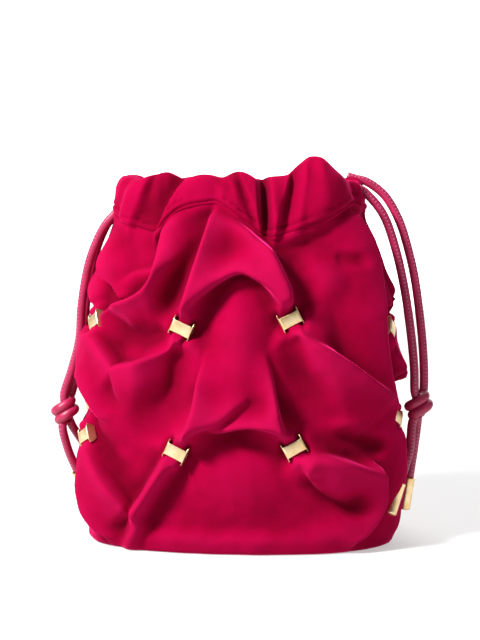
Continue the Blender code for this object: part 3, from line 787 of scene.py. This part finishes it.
def aroundWall(u, word):
    # from a share of one half of the wall to s: the front runs from seam to seam, then the back
    return (u - 0.5) * body["halfRound"] + (0 if word == "front" else body["halfRound"])


def placeVerts(bm, places):
    for vert, place in zip(bm.verts, places):
        vert.co = Vector(place) * mm


def softField(values, s, v, times):
    # the values at the grid's vertices, averaged with their neighbours; round the wall they repeat
    order = np.lexsort((s, np.round(v, 6)))
    field = values[order].reshape(body["rows"] + 1, body["columns"] + 1)
    for k in range(times):
        around = field[:, :-1]
        around = 0.5 * around + 0.25 * (np.roll(around, 1, 1) + np.roll(around, -1, 1))
        field = np.concatenate([around, around[:, :1]], 1)
        field[1:-1] = 0.5 * field[1:-1] + 0.25 * (field[:-2] + field[2:])
    soft = np.empty_like(values)
    soft[order] = field.ravel()
    return soft


band = {
    "out": 5.2,  # mm from the wall out to the band's face, and below it in to its inner side
    "in": -7.5,
    "columns": 300,
    "sides": 64,
    "square": 3.6,  # how square its section is
    "hem": 4.2,  # mm from the seam up to the line of stitches
    "tuck": 3.0,  # mm that the band goes down inside the top of the body
}
# Pleats in the band: (s at the seam, s at the rim, depth, reach left, reach right). Puffs of the cloth
# between them: (middle, height, reach).
pleats = [(-56, -38, 8.0, 14, 2.2), (-70, -60, 4.0, 3.5, 9), (-92, -84, 1.5, 6, 7), (18, 1, 4.5, 6, 2.5),
          (10, -9, 2.0, 6, 3), (22, 20.5, 10.0, 3.5, 4.5), (29, 43, 4.5, 2.5, 8), (48, 56, 1.5, 4, 6),
          (94, 88, 2.0, 8, 8), (108, 108, 1.0, 5, 5)]
puffs = [(-30, 2.0, 16), (2, 2.6, 8), (28, 3.0, 5), (62, 6.0, 19), (-78, 3.0, 8), (-102, 1.0, 8)]


def pleatDepth(ws, level):
    # how deep the pleats go at a level of the band, from 0 at the seam to 1 at the rim
    inward = np.zeros(len(ws))
    for atSeam, atRim, depth, left, right in pleats:
        off = ws - (atSeam + (atRim - atSeam) * level)
        reach = np.where(off < 0, left, right)
        inward += depth * bell(np.abs(off) / reach / 1.5)
    return inward * (0.45 + 0.55 * smoothstep(level, 0.05, 0.45))


def shellPlaces(s, v):
    top = seamHeight(s)
    z = 0.4 + v * (top - 0.4)
    high, drawn = foldHeight(s, z)
    high = softField(high, s, v, 1)
    drawn = np.stack([softField(drawn[:, k], s, v, 6) for k in (0, 1)], 1)
    # the cloth comes in to the band and to the bottom edge
    atBand = band["out"] - 1.0 - pleatDepth(wrapped(s), 0 * s)
    high = high + (atBand - high) * smoothstep(z, top - 10, top - 1)
    high = high * (0.7 + 0.3 * smoothstep(z, 0, 9)) + 1.2 * (1 - smoothstep(z, 0, 25))
    drawn = drawn * (smoothstep(z, 2, 14) * (1 - smoothstep(z, top - 10, top - 1)))[:, None]
    drawn = drawn * smoothstep(np.abs(wrapped(s + body["halfRound"] / 2)), 0, 8)[:, None]
    place, out = wall(s + drawn[:, 0], z + drawn[:, 1])
    under = np.clip(1 - z / body["turnUnder"], 0, 1)
    high = high - body["turnUnder"] * (1 - np.sqrt(1 - under ** 2)) * 0.9
    high = high + 0.9 * noiseAt(place, 22, 3.1) + 0.35 * noiseAt(place, 8, 9.4)
    # the side seams lie a little deeper
    high = high - 0.7 * np.exp(-(wrapped(s + body["halfRound"] / 2) / 1.6) ** 2)
    # painted shade and highlight: how far each place stands above or below the cloth around it, so that the
    # hollows are painted darker and the crests paler
    around = softField(high, s, v, body["paintedLightSoft"])
    napAndPaintedLight = np.clip((high - around) / body["paintedLightHeight"], -1, 1)
    return place + out * high[:, None], napAndPaintedLight


# stores the painted shade and highlight on the vertices as a float attribute, for the velvet's colour
def givePaintedLight(bm, napAndPaintedLight):
    layer = bm.verts.layers.float.new("napAndPaintedLight")
    for vert, value in zip(bm.verts, napAndPaintedLight):
        vert[layer] = value


def drawWith(piece):
    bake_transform(piece)


def buildShell(word):
    bm, u, v = gridMesh(body["columns"], body["rows"])
    s = aroundWall(u, word)
    places, napAndPaintedLight = shellPlaces(s, v)
    placeVerts(bm, places)
    givePaintedLight(bm, napAndPaintedLight)
    bmesh.ops.recalc_face_normals(bm, faces=bm.faces)
    data = meshOf("shell_" + word, bm)
    piece = finishPiece("velvet_body_" + word, data, velvet)
    wallThickness(piece, body["thick"], outward=checkOutward(data))
    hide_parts("outer_" + word)
    drawWith(piece)
    declareSheet(piece, data, body["flat"])


def declareSheet(piece, data, flat):
    area = sum(face.area for face in data.polygons)
    print(piece.name, "area", round(area, 4), "flat", round(flat[0] * flat[1], 4))


def checkOutward(data):
    # 1 where the mesh's normals point away from the axis of the bag, or -1
    total = 0.0
    for face in data.polygons:
        total += face.normal.x * face.center.x + face.normal.y * face.center.y
    return 1 if total > 0 else -1


def wallThickness(piece, thick, outward):
    solid = piece.modifiers.new("thickness", "SOLIDIFY")
    solid.thickness = thick * mm
    solid.offset = -1 * outward
    solid.use_even_offset = False


def bandPlaces(s, u, word):
    rim = rimFront if word == "front" else rimBack
    ws = wrapped(s)
    low = seamHeight(s) - band["tuck"]
    top = softLine(rim, s, 3.0)
    angle = 2 * math.pi * u
    c, d = np.cos(angle), np.sin(angle)
    power = 2 / band["square"]
    outShare = np.sign(c) * np.abs(c) ** power
    upShare = np.sign(d) * np.abs(d) ** power
    z = (low + top) / 2 + upShare * (top - low) / 2
    level = np.clip((z - low) / (top - low), 0, 1)
    puff = np.zeros(len(s))
    for middle, high, reach in puffs:
        puff += high * np.exp(-((ws - middle) / reach) ** 2)
    inward = pleatDepth(ws, level)
    ripple = 0.35 * np.sin(ws * 0.41 + 2.2 * np.sin(ws * 0.11)) * level
    outer = band["out"] + puff * np.sin(math.pi * np.clip(level * 0.85 + 0.1, 0, 1)) - inward + ripple
    # a line of stitches above the seam sinks into the pile
    above = z - seamHeight(s)
    hem = -0.9 * np.exp(-((above - band["hem"]) / 0.55) ** 2) - 0.9 * np.exp(-(above / 0.6) ** 2)
    outer = outer + np.where(c > 0, hem, 0)
    inner = band["in"] - 0.35 * inward - ripple
    middle, half = (outer + inner) / 2, (outer - inner) / 2
    place, out = wall(s, z)
    high = middle + outShare * half
    high = high + 0.5 * noiseAt(place + out * high[:, None], 7, 5.5)
    # painted shade: darker in the pleats and along the sunken stitch line and seam, and a faint painted
    # highlight on the rest of the band
    napAndPaintedLight = np.clip(0.15 - inward / 5 - 0.5 * (c > 0) * (hem < -0.3), -1, 0.3)
    return place + out * high[:, None], napAndPaintedLight


def buildBand(word):
    bm, u, v = gridMesh(band["columns"], band["sides"])
    s = aroundWall(u, word)
    places, napAndPaintedLight = bandPlaces(s, v, word)
    placeVerts(bm, places)
    givePaintedLight(bm, napAndPaintedLight)
    bmesh.ops.remove_doubles(bm, verts=bm.verts, dist=0.00001)
    bmesh.ops.recalc_face_normals(bm, faces=bm.faces)
    data = meshOf("band_" + word, bm)
    piece = finishPiece("velvet_band_" + word, data, velvet)
    side = "right" if word == "front" else "left"
    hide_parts("channel_" + word, "channel_" + side, "right_cord_" + word + "_run",
                "left_cord_" + word + "_run")
    drawWith(piece)


# The lining hangs just inside the wall, from the band down to its floor. Lengths in mm but for the cut.
liningCut = {"flat": (0.25, 0.19), "inset": 4.6, "low": 6.9, "up": 5, "thick": 0.6}


def buildLining(word):
    bm, u, v = gridMesh(120, 60)
    s = aroundWall(u, word)
    top = seamHeight(s) + liningCut["up"]
    z = liningCut["low"] + v * (top - liningCut["low"])
    place, out = wall(s, z)
    sag = 0.8 * noiseAt(place, 16, 1.3) + 0.5 * np.sin(s * 0.35 + 0.02 * z) * smoothstep(z, 120, 185)
    placeVerts(bm, place + out * (sag - liningCut["inset"])[:, None])
    bmesh.ops.recalc_face_normals(bm, faces=bm.faces)
    data = meshOf("lining_" + word, bm)
    piece = finishPiece("satin_lining_" + word, data, lining)
    wallThickness(piece, liningCut["thick"], outward=checkOutward(data))
    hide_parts("lining_" + word)
    drawWith(piece)
    declareSheet(piece, data, liningCut["flat"])


for word in ("front", "back"):
    buildShell(word)
    buildBand(word)
    buildLining(word)
print("velvet body, band and lining made")


# A bent strap: the plate lies over the fold, and a cheek at each end hugs it. Lengths in mm.
clip = {
    "wide": 11.9,
    "tall": 6.7,
    "sheet": 0.6,  # thickness of the strap
    "bend": 0.6,  # radius of the two bends
    "cheekTall": 10.8,
    "cheekDeep": 5.0,
    "off": 7.6,  # from the wall to the plate
    "waist": 0.98,  # share of its height that the plate has in its middle
    "crown": 0.25,  # how far it bulges
}


def buildClip(word, name, s, z, lean):
    half, tall, sheet = clip["wide"] / 2, clip["tall"] / 2, clip["sheet"]
    bm, u, v = gridMesh(44, 10)
    # u runs along the strip: up one cheek, across the plate and down the other cheek
    bend = clip["bend"]
    cheek, flat = clip["cheekDeep"] - bend + sheet, 2 * (half - bend)
    arc = bend * math.pi / 2
    total = 2 * (cheek + arc) + flat
    places = []
    for a, b in zip(u, v):
        run = a * total - total / 2
        out = abs(run)
        sign = 1 if run > 0 else -1
        if out < flat / 2:
            x, y = out, 0.0
            high = tall * (clip["waist"] + (1 - clip["waist"]) * (out / (flat / 2)) ** 2)
        elif out < flat / 2 + arc:
            turn = (out - flat / 2) / bend
            x, y = flat / 2 + bend * math.sin(turn), bend * (1 - math.cos(turn))
            high = tall + (clip["cheekTall"] / 2 - tall) * smoothstep(turn, 0.9, 1.57)
        else:
            down = out - flat / 2 - arc
            x, y = half, bend + down
            high = clip["cheekTall"] / 2 * (1 - 0.35 * (down / cheek) ** 2)
        crown = -clip["crown"] * (1 - (2 * b - 1) ** 2) * (1 if out < flat / 2 else 0.4)
        places.append((sign * x, y + crown, (2 * b - 1) * high))
    placeVerts(bm, places)
    bmesh.ops.recalc_face_normals(bm, faces=bm.faces)
    bmesh.ops.solidify(bm, geom=bm.faces[:], thickness=sheet * mm)
    bmesh.ops.recalc_face_normals(bm, faces=bm.faces)
    rim = [e for e in bm.edges if len(e.link_faces) == 2 and e.calc_face_angle(0) > math.radians(60)]
    bmesh.ops.bevel(bm, geom=rim, affect="EDGES", offset=0.2 * mm, segments=2, profile=0.5, material=-1)
    sUse = s if word == "front" else s + body["halfRound"]
    place, out = wall(np.array([float(sUse)]), np.array([float(z)]))
    outward = Vector(out[0])
    across = outward.cross(Vector((0, 0, 1))).normalized() * -1
    up = across.cross(outward) * -1
    basis = Matrix((across, -outward, up)).transposed().to_4x4()
    turn = Matrix.Rotation(math.radians(lean), 4, "Y")
    centre = (Vector(place[0]) + outward * clip["off"]) * mm
    bmesh.ops.transform(bm, verts=bm.verts, matrix=Matrix.Translation(centre) @ basis @ turn)
    data = meshOf("clip_" + word + name, bm)
    piece = finishPiece("brass_clip_" + word + "_" + name, data, brass, sharp=35)
    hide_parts("clip_" + word + "_" + name)
    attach(piece, "root")


clipNames = ["upper_left", "upper_right", "lower_left", "lower_right", "upper_far_left", "upper_far_right",
             "lower_far_left", "lower_far_right"]
for word in ("front", "back"):
    for name, (s, z, lean) in zip(clipNames, clipPlaces):
        buildClip(word, name, s, z, lean)
print("clips made")


def plate(name, low, high, inset, material, replaced, rounding=1.0):
    # a flat plate of the wall's outline, from one height to another and set in from the wall, in mm
    bm = bmesh.new()
    ring = bmesh.ops.create_circle(bm, cap_ends=True, segments=128, radius=1)["verts"]
    s = np.linspace(0, 2 * body["halfRound"], 128, endpoint=False)
    place, out = wall(s, np.full(128, 4.0))
    outline = place - out * inset
    for vert, spot in zip(ring, outline):
        vert.co = Vector((spot[0], spot[1], low)) * mm
    lifted = bmesh.ops.extrude_face_region(bm, geom=bm.faces[:])["geom"]
    bmesh.ops.translate(bm, verts=[g for g in lifted if isinstance(g, bmesh.types.BMVert)],
                        vec=(0, 0, (high - low) * mm))
    bmesh.ops.recalc_face_normals(bm, faces=bm.faces)
    rims = [e for e in bm.edges if len(e.link_faces) == 2 and e.calc_face_angle(0) > math.radians(60)]
    bmesh.ops.bevel(bm, geom=rims, affect="EDGES", offset=rounding * mm, segments=3, profile=0.5,
                    material=-1)
    data = meshOf(name, bm)
    piece = finishPiece(name, data, material, sharp=40)
    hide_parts(replaced)
    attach(piece, "root")


plate("velvet_base", 0, 3, 1.8, velvet, "outer_base")
plate("satin_lining_base", 5.6, 6.6, 3.4, lining, "lining_base", rounding=0.3)
for node, material in (("base_board", board), ("right_cord_turn", leather), ("left_cord_turn", leather)):
    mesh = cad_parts[node].data
    mesh.materials.clear()
    mesh.materials.append(material)
print("base made")


# Place in metres, size in metres and power in watts of each light.
lights = {
    "key": ((-0.95, -0.95, 1.2), 0.3, 62),
    "fill": ((1.5, -1.0, 0.8), 1.2, 2),
    "top": ((0.0, 0.5, 1.7), 1.0, 12),
}
studio = {"floorGrey": 0.42, "floorGlow": 0.45, "paperGlow": 1.0, "sky": 0.15}


def buildStage():
    bm = bmesh.new()
    bmesh.ops.create_grid(bm, x_segments=1, y_segments=1, size=4)
    floor = finishPlain("floor", bm)
    material, tree, shader = newMaterial("matt white floor")
    shader.inputs["Base Color"].default_value = (*[studio["floorGrey"]] * 3, 1)
    shader.inputs["Emission Color"].default_value = (1, 1, 1, 1)
    shader.inputs["Emission Strength"].default_value = studio["floorGlow"]
    shader.inputs["Roughness"].default_value = 0.9
    floor.data.materials.append(material)
    for name, (place, size, power) in lights.items():
        data = bpy.data.lights.new(name, "AREA")
        data.size = size
        data.energy = power
        light = bpy.data.objects.new(name, data)
        light.location = place
        light.rotation_euler = (Vector((0, 0, 0.1)) - Vector(place)).to_track_quat("-Z", "Y").to_euler()
        bpy.context.scene.collection.objects.link(light)
    world = bpy.data.worlds.new("soft white")
    world.use_nodes = True
    world.node_tree.nodes["Background"].inputs[0].default_value = (1, 1, 1, 1)
    world.node_tree.nodes["Background"].inputs[1].default_value = studio["sky"]
    bpy.context.scene.world = world
    bm = bmesh.new()
    bmesh.ops.create_grid(bm, x_segments=1, y_segments=1, size=1.6)
    upright = Matrix.Translation((0, 1.5, 1.5)) @ Matrix.Rotation(math.radians(90), 4, "X")
    bmesh.ops.transform(bm, verts=bm.verts, matrix=upright)
    backdrop = finishPlain("backdrop", bm)
    material, tree, shader = newMaterial("lit white paper")
    shader.inputs["Base Color"].default_value = (1, 1, 1, 1)
    shader.inputs["Emission Color"].default_value = (1, 1, 1, 1)
    shader.inputs["Emission Strength"].default_value = studio["paperGlow"]
    backdrop.data.materials.append(material)
    bpy.context.scene.view_settings.view_transform = "Standard"


def finishPlain(name, bm):
    data = meshOf(name, bm)
    piece = bpy.data.objects.new(name, data)
    bpy.context.scene.collection.objects.link(piece)
    return piece


buildStage()
print("floor and lights made")
